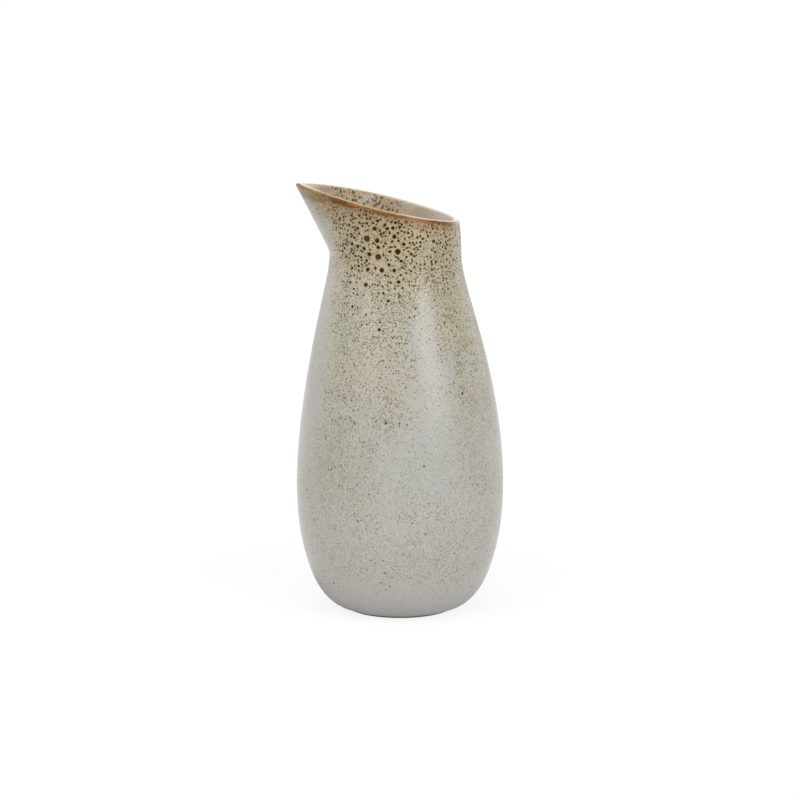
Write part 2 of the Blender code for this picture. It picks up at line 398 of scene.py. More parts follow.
def ringed_piece(name, grid, material, first_pole, last_pole):
    """An object from a grid of rings: quads between the rings, and a fan to the middle of an end that has a
    pole."""
    rows, around = grid.shape[:2]
    ring = np.arange(around)
    after = np.roll(ring, -1)
    low = np.arange(rows - 1)[:, None] * around
    quads = [low + ring, low + around + ring, low + around + after, low + after]
    faces = np.stack(quads, axis=2).reshape(-1, 4).tolist()
    points = [grid.reshape(-1, 3)]
    top = (rows - 1) * around
    if last_pole:
        points.append(grid[-1].mean(axis=0)[None])
        faces += np.column_stack([top + ring, np.full(around, rows * around), top + after]).tolist()
    if first_pole:
        points.append(grid[0].mean(axis=0)[None])
        middle = rows * around + bool(last_pole)
        faces += np.column_stack([after, np.full(around, middle), ring]).tolist()
    mesh = bpy.data.meshes.new(name)
    mesh.from_pydata(np.concatenate(points).tolist(), [], faces)
    mesh.shade_smooth()
    mesh.materials.append(material)
    return new_object(name, mesh)


def camera_axes():
    """The camera's place, and the directions to its right, up and ahead."""
    ahead = np.array([0, math.cos(CAMERA_PITCH), -math.sin(CAMERA_PITCH)])
    up = np.array([0, math.sin(CAMERA_PITCH), math.cos(CAMERA_PITCH)])
    place = np.array([0, 0, CAMERA_AIM_HEIGHT]) - CAMERA_DISTANCE * ahead
    return place, np.array([1.0, 0, 0]), up, ahead


def wall_in_frame():
    """A fine grid's points of the outside that face the camera, and where each shows in the photograph's
    frame: its offsets to the right and down, over its depth, times the focal length in pixels."""
    wall = outer_wall(**SIGHT_MESH)
    place, right, up, ahead = camera_axes()
    wall = wall[np.sum(outward(wall) * (place - wall), axis=2) > 0]
    offset = wall - place
    focal_pixels = FOCAL_LENGTH_MM / FILM_WIDTH_MM * FRAME_PIXELS
    slopes = np.column_stack([offset @ right, offset @ -up]) / (offset @ ahead)[:, None]
    return wall, FRAME_PIXELS / 2 + focal_pixels * slopes


def shade(tree, kind, inputs=None, **settings):
    """A shader node: its settings, and its inputs' values or the outputs that feed them."""
    node = tree.nodes.new(kind)
    for name, value in settings.items():
        setattr(node, name, value)
    for name, value in (inputs or {}).items():
        if isinstance(value, bpy.types.NodeSocket):
            tree.links.new(value, node.inputs[name])
        else:
            node.inputs[name].default_value = value
    return node


def reckon(tree, operation, first, second=0.0, third=0.0):
    """The output of a Math node."""
    return shade(tree, "ShaderNodeMath", {0: first, 1: second, 2: third}, operation=operation).outputs[0]


def times_plus(tree, mask, amount, value):
    """A mask times an amount, plus a value."""
    return reckon(tree, "MULTIPLY_ADD", mask, amount, value)


def either(tree, first, second):
    """The larger of two masks."""
    return reckon(tree, "MAXIMUM", first, second)


def product(tree, first, *others):
    """Several masks multiplied."""
    for other in others:
        first = reckon(tree, "MULTIPLY", first, other)
    return first


def ramp(tree, value, low, high, out_low=0.0, out_high=1.0):
    """A value eased from out_low to out_high while it goes from low to high."""
    inputs = {"Value": value, "From Min": low, "From Max": high, "To Min": out_low, "To Max": out_high}
    return shade(tree, "ShaderNodeMapRange", inputs, interpolation_type="SMOOTHSTEP").outputs["Result"]


def fade(tree, mask, at_full):
    """1 where the mask is 0, easing to another value where the mask is 1."""
    return ramp(tree, mask, 0.0, 1.0, 1.0, at_full)


def vector_math(tree, operation, *vectors):
    """The outputs of a Vector Math node."""
    return shade(tree, "ShaderNodeVectorMath", dict(enumerate(vectors)), operation=operation).outputs


def parts(tree, vector):
    """The x, y and z of a vector."""
    return shade(tree, "ShaderNodeSeparateXYZ", {"Vector": vector}).outputs


def blend_value(tree, share, first, second):
    """Two values mixed by a share."""
    return shade(tree, "ShaderNodeMix", {0: share, 2: first, 3: second}).outputs[0]


def paint(shown):
    """A node's output as it is, or a colour as it shows on a screen in the linear values that shaders use."""
    if isinstance(shown, bpy.types.NodeSocket):
        return shown
    share = np.array(shown) / 255
    linear = np.where(share <= 0.04045, share / 12.92, ((share + 0.055) / 1.055) ** 2.4)
    return (*linear.tolist(), 1.0)


def blend(tree, share, first, second):
    """Two colours mixed by a share."""
    inputs = {0: share, 6: paint(first), 7: paint(second)}
    return shade(tree, "ShaderNodeMix", inputs, data_type="RGBA").outputs[2]


def tints(tree, skin, layers):
    """Colours laid over the skin one after another: each layer is a mask, a strength and a colour."""
    for mask, strength, stain in layers:
        skin = blend(tree, reckon(tree, "MULTIPLY", mask, strength), skin, stain)
    return skin


def noise(tree, vector, scale, detail, output="Fac"):
    """The value of a Noise texture, or its colour."""
    inputs = {"Vector": vector, "Scale": scale, "Detail": detail}
    return shade(tree, "ShaderNodeTexNoise", inputs).outputs[output]


def near_point(tree, vector, centre, none_at, full_at):
    """1 within full_at of a point of the carafe, easing to 0 at none_at."""
    gap = vector_math(tree, "DISTANCE", vector, centre)["Value"]
    return ramp(tree, gap, none_at, full_at)


def from_upright(tree, vector, line):
    """The distance from an upright line through a plan's (x, y)."""
    plan = vector_math(tree, "MULTIPLY", vector, (1, 1, 0))["Vector"]
    return vector_math(tree, "DISTANCE", plan, (*line, 0.0))["Value"]


def wobbled(tree, vector, scale, reach):
    """The place moved a little by noise, up to half of reach each way, so that spots aren't quite round and
    edges aren't quite straight."""
    stir = noise(tree, vector, scale, 1.0, output="Color")
    centred = vector_math(tree, "SUBTRACT", stir, (0.5, 0.5, 0.5))["Vector"]
    return vector_math(tree, "MULTIPLY_ADD", centred, (reach, reach, reach), vector)["Vector"]


def new_group(name, values, outputs):
    """An empty node group, with its input and output nodes. It takes in a vector and floats that start at
    these values, and it puts out floats."""
    group = bpy.data.node_groups.new(name, "ShaderNodeTree")
    sockets = group.interface
    sockets.new_socket("Vector", in_out="INPUT", socket_type="NodeSocketVector")
    for socket, value in values.items():
        sockets.new_socket(socket, in_out="INPUT", socket_type="NodeSocketFloat").default_value = value
    for socket in outputs:
        sockets.new_socket(socket, in_out="OUTPUT", socket_type="NodeSocketFloat")
    return group, group.nodes.new("NodeGroupInput").outputs, group.nodes.new("NodeGroupOutput").inputs


def speck_group():
    """Round specks of mixed widths: one in each chosen cell of a Voronoi pattern. Cells is how many lie along
    a metre, Narrowest and Widest are radii as shares of a cell, and Chosen is the share of cells that have
    one. Mask is the speck, Edge is the speck with its soft edge, Halo is the ground close round it, and Tone
    is a number that differs from speck to speck."""
    values = {"Cells": 500.0, "Narrowest": 0.1, "Widest": 0.3, "Chosen": 0.5}
    group, given, result = new_group("round specks", values, ("Mask", "Edge", "Halo", "Tone"))
    inputs = {"Vector": given["Vector"], "Scale": given["Cells"], "Randomness": SPECK_SCATTER}
    cells = shade(group, "ShaderNodeTexVoronoi", inputs).outputs
    chance = shade(group, "ShaderNodeSeparateColor", {"Color": cells["Color"]}).outputs
    spread = reckon(group, "SUBTRACT", given["Widest"], given["Narrowest"])
    mostly_narrow = reckon(group, "POWER", chance["Red"], 2.0)
    radius = times_plus(group, mostly_narrow, spread, given["Narrowest"])
    share = reckon(group, "DIVIDE", cells["Distance"], radius)
    present = reckon(group, "LESS_THAN", chance["Green"], given["Chosen"])
    for name, none_at, full_at in (("Mask", 1.20, 0.70), ("Edge", 1.65, 1.00), ("Halo", 2.40, 1.50)):
        within = ramp(group, share, none_at, full_at)
        group.links.new(reckon(group, "MULTIPLY", within, present), result[name])
    group.links.new(chance["Blue"], result["Tone"])
    return group


def neck_spot_group():
    """The largest spots, each where it shows in the photograph. Share is the smallest of the distances to
    their centres, each as a share of that spot's radius, and Heart is the same for the widest spots alone."""
    group, given, result = new_group("neck spots", {}, ("Share", "Heart"))
    wall, shown = wall_in_frame()
    nearest = OUT_OF_REACH
    widest = OUT_OF_REACH
    for across, down, width_mm in NECK_SPOTS:
        off_sight = np.linalg.norm(shown - (across, down), axis=1)
        centre = tuple(wall[np.argmin(off_sight)])
        gap = vector_math(group, "DISTANCE", given["Vector"], centre)["Value"]
        share = reckon(group, "DIVIDE", gap, width_mm * MILLIMETRE / 2)
        nearest = reckon(group, "MINIMUM", share, nearest)
        if width_mm > HEART_WIDTH_MM:
            widest = reckon(group, "MINIMUM", share, widest)
    group.links.new(nearest, result["Share"])
    group.links.new(widest, result["Heart"])
    return group


def melt_group():
    """What both glazes share: Drift is the slow unevenness of the melt, Grain is its fine texture, and
    Roughness follows the grain."""
    group, given, result = new_group("glaze melt", {}, ("Drift", "Grain", "Roughness"))
    drift = noise(group, given["Vector"], 75.0, 3.0)
    grain = noise(group, given["Vector"], 700.0, 3.0)
    group.links.new(drift, result["Drift"])
    group.links.new(grain, result["Grain"])
    group.links.new(ramp(group, grain, 0.3, 0.7, *GLAZE_ROUGHNESS), result["Roughness"])
    return group


def from_group(tree, group, inputs):
    """The outputs of a node group that is given its inputs."""
    return shade(tree, "ShaderNodeGroup", inputs, node_tree=group).outputs


def specks(tree, group, vector, cells, narrowest, widest, chosen):
    """One layer of specks: the outputs Mask, Edge, Halo and Tone."""
    inputs = {"Vector": vector, "Cells": cells, "Narrowest": narrowest, "Widest": widest, "Chosen": chosen}
    return from_group(tree, group, inputs)


def new_material(name):
    """A material, its node tree and its Principled BSDF."""
    material = bpy.data.materials.new(name)
    material.use_nodes = True
    tree = material.node_tree
    return material, tree, tree.nodes["Principled BSDF"]


def dress_surface(tree, surface, skin, roughness, relief, bump):
    """Joins a colour, a roughness and a relief to a surface."""
    tree.links.new(skin, surface.inputs["Base Color"])
    tree.links.new(roughness, surface.inputs["Roughness"])
    normal = shade(tree, "ShaderNodeBump", {"Height": relief, **bump}).outputs["Normal"]
    tree.links.new(normal, surface.inputs["Normal"])


def glaze_bearings(tree, melt_nodes):
    """Where a point of the glaze lies: its place, how far below the lip's crest it is, whether it is inside
    and how near the beak, with the noises that stir the pattern there."""
    at = SimpleNamespace()
    at.place = shade(tree, "ShaderNodeTexCoord").outputs["Object"]
    at.sideways, at.depth, at.height = parts(tree, at.place)
    at.rim = shade(tree, "ShaderNodeAttribute", attribute_name="below_crest").outputs["Fac"]
    at.inside = ramp(tree, at.rim, 0.0005, -0.0010)
    at.outside = reckon(tree, "SUBTRACT", 1.0, at.inside)
    at.beak = near_point(tree, at.place, SPOUT_TIP, 0.040, 0.018)
    melt = from_group(tree, melt_nodes, {"Vector": at.place})
    at.drift, at.grain, at.roughness = melt["Drift"], melt["Grain"], melt["Roughness"]
    at.clouds = noise(tree, at.place, 20.0, 2.0)
    at.mottle = noise(tree, at.place, 120.0, 3.0)
    at.flecks = noise(tree, at.place, 260.0, 2.0)
    at.wavy = wobbled(tree, at.place, 420.0, 0.0008)
    return at


def find_clear_places(tree, at):
    """Adds the places that are nearly clear of specks, which are a streak on the front and the side below the
    spout, and the share of specks that is kept there. The side's paleness is partly the glaze's own and
    partly painted sheen."""
    stirred = parts(tree, wobbled(tree, at.place, 45.0, 0.030))["X"]
    (foot_across, foot_height), (top_across, top_height) = CLEAR_STREAK
    slant = (top_across - foot_across) / (top_height - foot_height)
    middle = times_plus(tree, at.height, slant, foot_across - slant * foot_height)
    off_middle = reckon(tree, "ABSOLUTE", reckon(tree, "SUBTRACT", stirred, middle))
    at.streak = product(
        tree,
        ramp(tree, times_plus(tree, at.height, 0.20, off_middle), 0.048, 0.024),
        ramp(tree, at.depth, -0.010, -0.025),
        ramp(tree, at.height, foot_height - 0.015, foot_height + 0.015),
        ramp(tree, at.height, top_height + 0.025, top_height - 0.010),
    )
    shaken = wobbled(tree, at.place, 60.0, 0.014)
    drawn_in = ramp(tree, at.height, 0.140, 0.185, 0.0, 0.0120)
    at.side_gap = reckon(tree, "ADD", from_upright(tree, shaken, CLEAR_SIDE), drawn_in)
    # The side below the spout: partly its glaze's own clear grey, partly painted sheen
    at.side = product(
        tree,
        ramp(tree, at.side_gap, 0.037, 0.020),
        ramp(tree, at.rim, 0.009, 0.023),
        either(tree, ramp(tree, at.depth, 0.005, -0.012), ramp(tree, at.clouds, 0.60, 0.44)),
    )
    at.clear = either(tree, at.streak, at.side)
    kept_in_streak = ramp(tree, at.height, 0.095, 0.135, 0.48, 0.25)
    at.kept = product(tree, fade(tree, at.streak, kept_in_streak), fade(tree, at.side, 0.30))


def find_neck(tree, at):
    """Adds the neck's share: all round outside but for the side below the spout, lower on that side than on
    the other, and in one patch inside. The larger spots lie in patches of it."""
    slump = ramp(tree, at.sideways, -0.005, 0.030, 0.0, 0.017)
    below_rim = reckon(tree, "ADD", times_plus(tree, at.drift, 0.020, at.rim), slump)
    off_side = ramp(tree, at.side_gap, 0.032, 0.042)
    at.outer_neck = product(tree, ramp(tree, below_rim, 0.074, 0.030), off_side, at.kept)
    inner_patch = near_point(tree, at.place, INNER_PATCH, 0.036, 0.016)
    at.inner_neck = product(tree, ramp(tree, at.rim, -0.030, -0.010), inner_patch)
    at.neck = blend_value(tree, at.inside, at.outer_neck, at.inner_neck)
    inner_spots = product(tree, at.inner_neck, near_point(tree, at.place, INNER_SPOTS, 0.030, 0.014))
    at.spotted = blend_value(tree, at.inside, at.outer_neck, inner_spots)
    at.back_patches = product(tree, ramp(tree, at.clouds, 0.42, 0.62), ramp(tree, at.depth, -0.005, 0.012))
    front_patch = near_point(tree, at.place, SPOT_PATCH, 0.046, 0.018)
    at.patches = either(tree, front_patch, at.back_patches)


def find_warm_places(tree, at):
    """Adds the warmth, which grows with height, in clouds, and stays low in the clear places, and the places
    where the specks are darkest."""
    warmth = ramp(tree, times_plus(tree, at.clouds, 0.08, at.height), 0.10, 0.27)
    at.warmth = product(tree, warmth, fade(tree, at.clear, 0.25))
    front = near_point(tree, at.place, WARM_PATCH, 0.050, 0.020)
    at.rich = either(tree, front, near_point(tree, at.place, WARM_SIDE, 0.055, 0.025))


def find_rim_runs(tree, at):
    """Adds the distance below the rim, made uneven by noise, and the places where what lies under the rim
    runs further down: among the larger spots and on the beak."""
    flecked = times_plus(tree, at.flecks, 0.005, at.rim)
    at.uneven = times_plus(tree, at.drift, 0.007, flecked)
    at.run = either(tree, at.patches, at.beak)


def glaze_ground(tree, at):
    """The ground's colour: grey below and in the clear places, where the side below the spout is partly
    painted sheen, warmer with height, in drifts and round the neck, brown towards the rim, and painted sheen
    in pale cream at the neck's right edge."""
    warm_patch = near_point(tree, at.place, WARM_PATCH, 0.038, 0.008)
    rosy = product(tree, ramp(tree, at.mottle, 0.50, 0.66), fade(tree, at.clear, 0.3))
    green = product(tree, ramp(tree, at.mottle, 0.46, 0.32), ramp(tree, at.warmth, 0.0, 1.0, 0.5, 1.0))
    near_rim = ramp(tree, times_plus(tree, at.drift, 0.010, at.rim), 0.034, 0.008)
    far_lip = product(tree, at.inside, ramp(tree, at.sideways, -0.005, 0.018))
    toasted = product(tree, near_rim, reckon(tree, "SUBTRACT", 1.0, far_lip))
    front_toast = near_point(tree, at.place, TOAST_PATCH, 0.038, 0.012)
    toast_patches = either(tree, front_toast, at.back_patches)
    # Painted sheen: the neck's right edge, outside, lightened to pale cream in place of the light it reflects
    painted_edge_sheen = product(
        tree,
        at.outside,
        ramp(tree, at.sideways, 0.0265, 0.0315),
        ramp(tree, at.rim, 0.032, 0.016),
        ramp(tree, at.depth, 0.010, -0.002),
    )
    return tints(tree, blend(tree, at.warmth, GREY_GROUND, WARM_GROUND), [
        (product(tree, ramp(tree, at.drift, 0.48, 0.70), at.warmth), 0.36, SANDY_DRIFT),
        (warm_patch, 0.25, OLIVE_CAST),
        (product(tree, warm_patch, ramp(tree, at.drift, 0.46, 0.62)), 0.15, SANDY_CAST),
        (near_point(tree, at.place, ROSY_PATCH, 0.048, 0.010), 0.20, ROSY_CAST),
        (near_point(tree, at.place, WARM_SIDE, 0.042, 0.010), 0.45, KHAKI_CAST),
        (near_point(tree, at.place, RUSTY_PATCH, 0.014, 0.003), 0.22, RUSTY_CAST),
        (at.streak, 0.50, STREAK_GREY),
        # Pale grey of the side below the spout, partly painted sheen
        (at.side, 0.60, SIDE_GREY_AND_SHEEN),
        (ramp(tree, at.height, 0.030, 0.006), 0.75, FOOT_GREY),
        (rosy, 0.28, ROSY_MOTTLE),
        (green, 0.28, GREEN_MOTTLE),
        (ramp(tree, at.grain, 0.45, 0.75), 0.25, DARK_GRAIN),
        (at.neck, 0.40, NECK_TAN),
        (toasted, ramp(tree, toast_patches, 0.0, 1.0, 0.22, 0.66), TOAST),
        # Painted sheen along the neck's right edge
        (painted_edge_sheen, 0.60, RIGHT_EDGE_SHEEN),
    ])


def lay_lining(tree, at, ground):
    """The inside laid over the ground: a stained pinkish beige that turns grey further down and white away
    from the spout, that white partly the lining's own and partly painted light, and a tan in the patch of
    spots."""
    beige_or_grey = blend(tree, ramp(tree, at.rim, -0.008, -0.030), LINING_BEIGE, LINING_GREY)
    # Whiter away from the spout: partly the lining's own colour, partly painted light
    lining = blend(tree, ramp(tree, at.sideways, 0.010, 0.028), beige_or_grey, LINING_PALE_AND_LIT)
    stained = product(
        tree,
        ramp(tree, at.drift, 0.38, 0.62),
        ramp(tree, at.sideways, 0.024, 0.006),
        ramp(tree, at.sideways, -0.030, -0.010),
    )
    lining = tints(tree, lining, [(stained, 0.40, LINING_STAIN)])
    cover = ramp(tree, at.inner_neck, 0.0, 1.0, 0.95, 0.40)
    lined = product(tree, at.inside, ramp(tree, at.rim, -0.0008, -0.0030), cover)
    return tints(tree, ground, [
        (lined, 1.0, lining),
        (product(tree, at.inside, at.inner_neck), 0.34, INNER_TAN),
    ])


def lay_rim_wash(tree, at, ground):
    """A wash under the rim laid over the ground: a blush and a brown, more olive on the beak."""
    further = times_plus(tree, at.run, -0.0036, at.uneven)
    ragged = times_plus(tree, at.beak, -0.0020, further)
    outer_lip = ramp(tree, at.rim, -0.0024, -0.0004)
    blush = product(tree, ramp(tree, ragged, 0.0140, 0.0090), outer_lip)
    wash = product(tree, ramp(tree, ragged, 0.0132, 0.0080), outer_lip)
    flecked = ramp(tree, at.flecks, 0.40, 0.60, 0.60, 0.92)
    return tints(tree, ground, [
        (blush, 0.45, blend(tree, at.beak, BLUSH, BEAK_BLUSH)),
        (wash, flecked, blend(tree, at.beak, BROWN_WASH, OCHRE_WASH)),
    ])


def lay_specks(tree, at, ground, speck_nodes):
    """Specks laid over the ground: fine ones all over but for the clear places and the lining, darker ones
    among them, a few larger ones, and pale flakes."""
    by_side = ramp(tree, at.sideways, 0.0, 0.02, 0.8, 1.0)
    quiet = product(tree, at.inside, fade(tree, at.inner_neck, 0.25), by_side)
    off_foot = ramp(tree, at.height, 0.008, 0.034)
    dusting = product(tree, off_foot, at.kept, ramp(tree, quiet, 0.0, 0.95, 1.0, 0.04))
    thinned = product(tree, ramp(tree, at.side_gap, 0.048, 0.028), ramp(tree, at.height, 0.05, 0.11))
    crowd = product(
        tree,
        dusting,
        ramp(tree, at.clouds, 0.32, 0.68, 0.65, 1.0),
        ramp(tree, at.mottle, 0.40, 0.60, 1.20, 0.70),
        fade(tree, thinned, 0.6),
    )
    pale = specks(tree, speck_nodes, at.place, 900.0, 0.30, 0.48, product(tree, crowd, 0.60))
    finer = specks(tree, speck_nodes, at.place, 1450.0, 0.32, 0.50, product(tree, crowd, 0.80))
    fine = specks(tree, speck_nodes, at.place, 980.0, 0.28, 0.48, product(tree, crowd, 0.85))
    middling = specks(tree, speck_nodes, at.place, 600.0, 0.18, 0.34, product(tree, crowd, 0.55))
    sparse = specks(tree, speck_nodes, at.wavy, 150.0, 0.060, 0.110, product(tree, dusting, 0.55))
    by_warmth = ramp(tree, at.warmth, 0.0, 1.0, 0.61, 0.95)
    richer = times_plus(tree, at.rich, 0.20, by_warmth)
    strength = product(tree, richer, fade(tree, at.streak, 0.85))
    fine_strength = product(tree, strength, ramp(tree, fine["Tone"], 0.0, 1.0, 0.45, 1.0))
    cool_or_warm = blend(tree, at.warmth, COOL_SPECK, WARM_SPECK)
    fine_colour = blend(tree, at.neck, cool_or_warm, NECK_SPECK)
    return tints(tree, ground, [
        (pale["Mask"], 0.47, blend(tree, at.warmth, COOL_FLAKE, WARM_FLAKE)),
        (finer["Mask"], product(tree, strength, 0.75), fine_colour),
        (fine["Mask"], fine_strength, fine_colour),
        (middling["Mask"], strength, blend(tree, middling["Tone"], OLIVE_SPECK, GREY_SPECK)),
        (sparse["Edge"], 0.60, SPARSE_EDGE),
        (sparse["Mask"], 0.95, blend(tree, at.warmth, SPARSE_OLIVE, SPARSE_BROWN)),
    ])


def lay_neck_spots(tree, at, skin, speck_nodes, placed):
    """Spots laid over the skin round the neck, dark with a soft edge and a pale halo: small ones all round,
    larger ones in patches at the back, and those placed from the photograph, the widest with a red heart."""
    apart = ramp(tree, placed["Share"], 1.5, 1.9)
    crowded = ramp(tree, at.spotted, 0.0, 0.6, 0.0, 0.90)
    least_narrow = times_plus(tree, at.inside, 0.05, 0.15)
    least_wide = times_plus(tree, at.inside, 0.05, 0.22)
    narrow = times_plus(tree, at.spotted, 0.14, least_narrow)
    wide = times_plus(tree, at.spotted, 0.23, least_wide)
    small = specks(tree, speck_nodes, at.wavy, 530.0, narrow, wide, crowded)
    behind = product(tree, at.outside, at.outer_neck, at.back_patches, 0.9)
    large = specks(tree, speck_nodes, at.wavy, 300.0, 0.19, 0.34, behind)
    halos = product(tree, either(tree, small["Halo"], large["Halo"]), at.spotted)
    edges = product(tree, either(tree, small["Edge"], large["Edge"]), apart)
    softer = fade(tree, at.inside, 0.75)
    return tints(tree, skin, [
        (halos, 0.42, SPOT_HALO),
        (edges, product(tree, softer, 0.70), SPOT_EDGE),
        (product(tree, small["Mask"], apart), product(tree, softer, 0.95), SMALL_SPOT),
        (product(tree, large["Mask"], apart), product(tree, softer, 0.97), LARGE_SPOT),
        (ramp(tree, placed["Share"], 2.2, 1.5), 0.45, PLACED_HALO),
        (ramp(tree, placed["Share"], 1.65, 1.1), 0.85, PLACED_EDGE),
        (ramp(tree, placed["Share"], 1.28, 0.75), 1.0, PLACED_SPOT),
        (ramp(tree, placed["Heart"], 0.75, 0.35), 0.55, SPOT_HEART),
    ])


def lay_rim(tree, at, skin):
    """The rim laid over the skin: an orange-brown break that runs deeper in places, a pale crest, widest at
    the tip and narrowest at the right, partly the glaze's own cream and partly painted highlight, whitest at
    the tip, and a painted highlight of pale grey at the right end."""
    narrower = times_plus(tree, at.run, -0.0010, at.uneven)
    for middle_of_run, deeper in RIM_RUNS:
        run_here = near_point(tree, at.place, middle_of_run, 0.013, 0.004)
        narrower = times_plus(tree, run_here, -deeper, narrower)
    broken = product(tree, ramp(tree, narrower, 0.0096, 0.0070), ramp(tree, at.rim, 0.0009, 0.0018))
    orange_or_brown = blend(tree, ramp(tree, at.drift, 0.42, 0.58), ORANGE_BREAK, BROWN_BREAK)
    tip = near_point(tree, at.place, SPOUT_TIP, 0.026, 0.008)
    drawn_in = reckon(tree, "ADD", at.rim, ramp(tree, at.sideways, 0.008, 0.020, 0.0, 0.0004))
    outer_crest = ramp(tree, times_plus(tree, tip, -0.0005, drawn_in), 0.0019, 0.0009)
    crest = product(tree, outer_crest, ramp(tree, at.rim, -0.0022, -0.0008))
    # The crest's colour: the glaze's cream turned whiter as a painted highlight on the lip's top
    near_crest_and_highlight = blend(tree, ramp(tree, at.sideways, -0.010, 0.016), NEAR_CREAM, NEAR_CREST_HIGHLIGHT)
    far_crest_and_highlight = blend(tree, ramp(tree, at.sideways, -0.010, 0.020), FAR_CREAM, FAR_CREST_HIGHLIGHT)
    cream = blend(tree, ramp(tree, at.depth, -0.010, 0.010), near_crest_and_highlight, far_crest_and_highlight)
    # Painted highlight: the rim's right end lightened to pale grey
    painted_end_highlight = product(tree, ramp(tree, at.sideways, 0.026, 0.032), ramp(tree, at.rim, 0.006, 0.002))
    return tints(tree, skin, [
        (broken, ramp(tree, at.beak, 0.0, 1.0, 0.95, 0.20), orange_or_brown),
        # Pale crest, partly painted highlight, whitest at the tip
        (crest, 0.85, blend(tree, tip, cream, TIP_HIGHLIGHT)),
        # Painted highlight at the rim's right end
        (painted_end_highlight, 0.55, END_HIGHLIGHT),
    ])


def speckled_glaze(speck_nodes, spot_nodes, melt_nodes):
    """The reactive glaze: a grey ground, warmer towards the neck, under olive-brown specks, with dark spots
    round the neck and an orange-brown break along the rim."""
    material, tree, surface = new_material("speckled glaze")
    at = glaze_bearings(tree, melt_nodes)
    find_clear_places(tree, at)
    find_neck(tree, at)
    find_warm_places(tree, at)
    find_rim_runs(tree, at)
    placed = from_group(tree, spot_nodes, {"Vector": at.wavy})
    skin = glaze_ground(tree, at)
    skin = lay_lining(tree, at, skin)
    skin = lay_rim_wash(tree, at, skin)
    skin = lay_specks(tree, at, skin, speck_nodes)
    skin = lay_neck_spots(tree, at, skin, speck_nodes, placed)
    skin = lay_rim(tree, at, skin)
    sunk = reckon(tree, "MULTIPLY", ramp(tree, placed["Share"], 1.2, 0.4), -0.6)
    relief = reckon(tree, "ADD", sunk, at.drift)
    dress_surface(tree, surface, skin, at.roughness, relief, GLAZE_BUMP)
    return material


def recess_glaze(speck_nodes, melt_nodes):
    """The glaze under the foot: the grey ground with fine specks."""
    material, tree, surface = new_material("recess glaze")
    place = shade(tree, "ShaderNodeTexCoord").outputs["Object"]
    melt = from_group(tree, melt_nodes, {"Vector": place})
    fine = specks(tree, speck_nodes, place, 820.0, 0.20, 0.36, 0.4)
    ground = blend(tree, ramp(tree, melt["Drift"], 0.35, 0.65), RECESS_GREY, RECESS_BUFF)
    skin = tints(tree, ground, [
        (ramp(tree, melt["Grain"], 0.45, 0.75), 0.30, RECESS_GRAIN),
        (fine["Mask"], 0.55, RECESS_SPECK),
    ])
    dress_surface(tree, surface, skin, melt["Roughness"], melt["Drift"], GLAZE_BUMP)
    return material


def bare_clay(speck_nodes):
    """Fired stoneware: a sandy buff with pale and dark grains and a dry, finely pitted surface."""
    material, tree, surface = new_material("bare stoneware")
    place = shade(tree, "ShaderNodeTexCoord").outputs["Object"]
    grain = noise(tree, place, 1100.0, 5.0)
    toasting = noise(tree, place, 90.0, 2.0)
    grog = specks(tree, speck_nodes, place, 1000.0, 0.12, 0.34, 0.35)
    sandy = blend(tree, ramp(tree, grain, 0.3, 0.7), PALE_CLAY, DARK_CLAY)
    skin = tints(tree, sandy, [
        (ramp(tree, toasting, 0.45, 0.7), 0.4, TOASTED_CLAY),
        (grog["Mask"], 0.8, blend(tree, grog["Tone"], DARK_GROG, PALE_GROG)),
    ])
    roughness = ramp(tree, grain, 0.3, 0.7, *CLAY_ROUGHNESS)
    dress_surface(tree, surface, skin, roughness, grain, CLAY_BUMP)
    return material


def add_glaze_coat(material):
    """The glaze over the outside, the lip and the inside, as a skin that is given its thickness inwards."""
    grid, below_crest = carafe_skin(**COAT_MESH)
    coat = ringed_piece("glaze_skin", grid, material, first_pole=False, last_pole=True)
    attribute = coat.data.attributes.new("below_crest", "FLOAT", "POINT")
    attribute.data.foreach_set("value", np.append(below_crest.ravel(), below_crest[-1].mean()))
    thickness = coat.modifiers.new("glaze thickness", "SOLIDIFY")
    thickness.thickness = GLAZE
    thickness.offset = -1.0
    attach(coat, "root")
    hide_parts("glaze_coat")


def quarter_round(corner, turn_from, turn_to):
    """(radius, height) rows of a quarter circle of FOOT_ROUND about a corner's centre."""
    turn = np.radians(np.linspace(turn_from, turn_to, FOOT_ROUND_ROWS))
    return np.column_stack([corner[0] + FOOT_ROUND * np.cos(turn), corner[1] + FOOT_ROUND * np.sin(turn)])


def add_clay_body(material):
    """The fired clay under the glaze, with its foot ring and the recess inside that: the glazed surface sunk
    by the coat's thickness and its seat, closed below by the turned foot."""
    skin, _ = carafe_skin(**CLAY_MESH)
    sunk = skin - outward(skin) * (GLAZE + SEAT_GAP)
    ring_inside = FOOT_RADIUS - FOOT_RING_WIDTH
    foot = np.vstack([
        [(ring_inside, FOOT_RECESS)],
        quarter_round((ring_inside + FOOT_ROUND, FOOT_ROUND), 180, 270),
        quarter_round((FOOT_RADIUS - FOOT_ROUND, FOOT_ROUND), 270, 360),
        [(FOOT_RADIUS, FOOT_HEIGHT)],
    ])
    grid = np.concatenate([turned(foot, CLAY_MESH["around"]), sunk])
    body = ringed_piece("clay_body", grid, material, first_pole=True, last_pole=True)
    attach(body, "root")
    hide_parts("stoneware_body")


